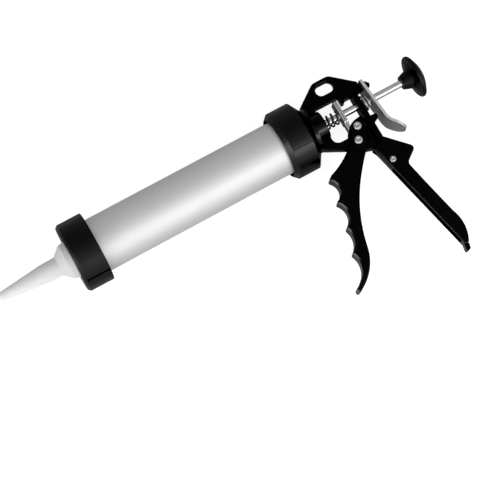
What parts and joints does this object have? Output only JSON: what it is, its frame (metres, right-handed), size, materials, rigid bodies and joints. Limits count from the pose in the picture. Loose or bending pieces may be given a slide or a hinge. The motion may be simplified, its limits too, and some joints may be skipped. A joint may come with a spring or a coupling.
{
  "type": "caulking gun",
  "caption": "Caulking gun with a tubular barrel, screw caps, tapered nozzle, grip-plate push rod, sprung trigger and release lever, for sealant in foil packs.",
  "frame": {"origin": "centre of the nozzle outlet's mouth, on the barrel's axis", "axes": "+X back along the barrel from the nozzle to the pull knob; +Y from the handle towards the hanging slot; +Z out of the flat side that faces up as the gun lies on a bench"},
  "size_m": [0.4673, 0.2121, 0.0688],
  "materials": {
    "satin_aluminium": "satin",
    "black_cap": "semi-matte",
    "black_knob": "semi-matte",
    "milky_nozzle": "translucent",
    "seal_rubber": "matte",
    "bush_brass": "turned",
    "black_paint": "semi-gloss",
    "zinc_plated_steel": "zinc plated",
    "piston_plastic": "moulded"
  },
  "bodies": {
    "gun_body": {"frame_casting": "black_paint", "handle_shell": "black_paint", "handle_rivet": "zinc_plated_steel", "trigger_pivot_rivet": "zinc_plated_steel", "barrel_tube": "satin_aluminium", "barrel_seat_ring": "seal_rubber", "rear_cap": "black_cap", "hub_lock_nut": "zinc_plated_steel", "rod_guide_bush": "bush_brass", "drive_spring": "zinc_plated_steel", "release_spring": "zinc_plated_steel"},
    "trigger": {"trigger": "black_paint", "drive_pin": "zinc_plated_steel", "drive_roller": "zinc_plated_steel"},
    "grip_plates": {"grip_plate_front": "zinc_plated_steel", "grip_plate_rear": "zinc_plated_steel"},
    "release_lever": {"release_lever": "zinc_plated_steel"},
    "push_rod": {"push_rod": "zinc_plated_steel", "piston": "piston_plastic", "piston_seal": "seal_rubber", "piston_backing_plate": "zinc_plated_steel", "piston_nut": "zinc_plated_steel", "pull_knob": "black_knob"},
    "nozzle": {"nozzle": "milky_nozzle", "nozzle_gasket": "seal_rubber"},
    "front_cap": {"front_cap": "black_cap"}
  },
  "joints": [
    {"name": "trigger_pull", "type": "hinge", "parent": "gun_body", "child": "trigger", "pos_m": [0.3787, -0.0306, 0], "axis": [0, 0, 1], "range_deg": [0, 32], "stiffness_Nm_per_rad": 0.6, "springref_deg": -14.32},
    {"name": "grip_plate_slide", "type": "slide", "parent": "gun_body", "child": "grip_plates", "axis": [-1, 0, 0], "range_m": [0, 0.0077], "deforming": ["drive_spring"]},
    {"name": "release_press", "type": "hinge", "parent": "gun_body", "child": "release_lever", "pos_m": [0.4092, 0.017, 0], "axis": [0, 0, -1], "range_deg": [0, 4], "stiffness_Nm_per_rad": 0.15, "springref_deg": -11.46, "deforming": ["release_spring"]},
    {"name": "rod_slide", "type": "slide", "parent": "gun_body", "child": "push_rod", "axis": [1, 0, 0], "range_m": [-0.03, 0.18]},
    {"name": "nozzle_draw", "type": "slide", "parent": "gun_body", "child": "nozzle", "axis": [-1, 0, 0], "range_m": [0, 0.0121]},
    {"name": "front_cap_unscrew", "type": "hinge", "parent": "nozzle", "child": "front_cap", "pos_m": [0.089, 0, 0], "axis": [-1, 0, 0], "range_deg": [0, 1440]}
  ],
  "couplings": [
    {"joint": "grip_plate_slide", "follows": "trigger_pull", "m_per_rad": 0.013615},
    {"joint": "nozzle_draw", "follows": "front_cap_unscrew", "m_per_rad": 0.00047746}
  ]
}
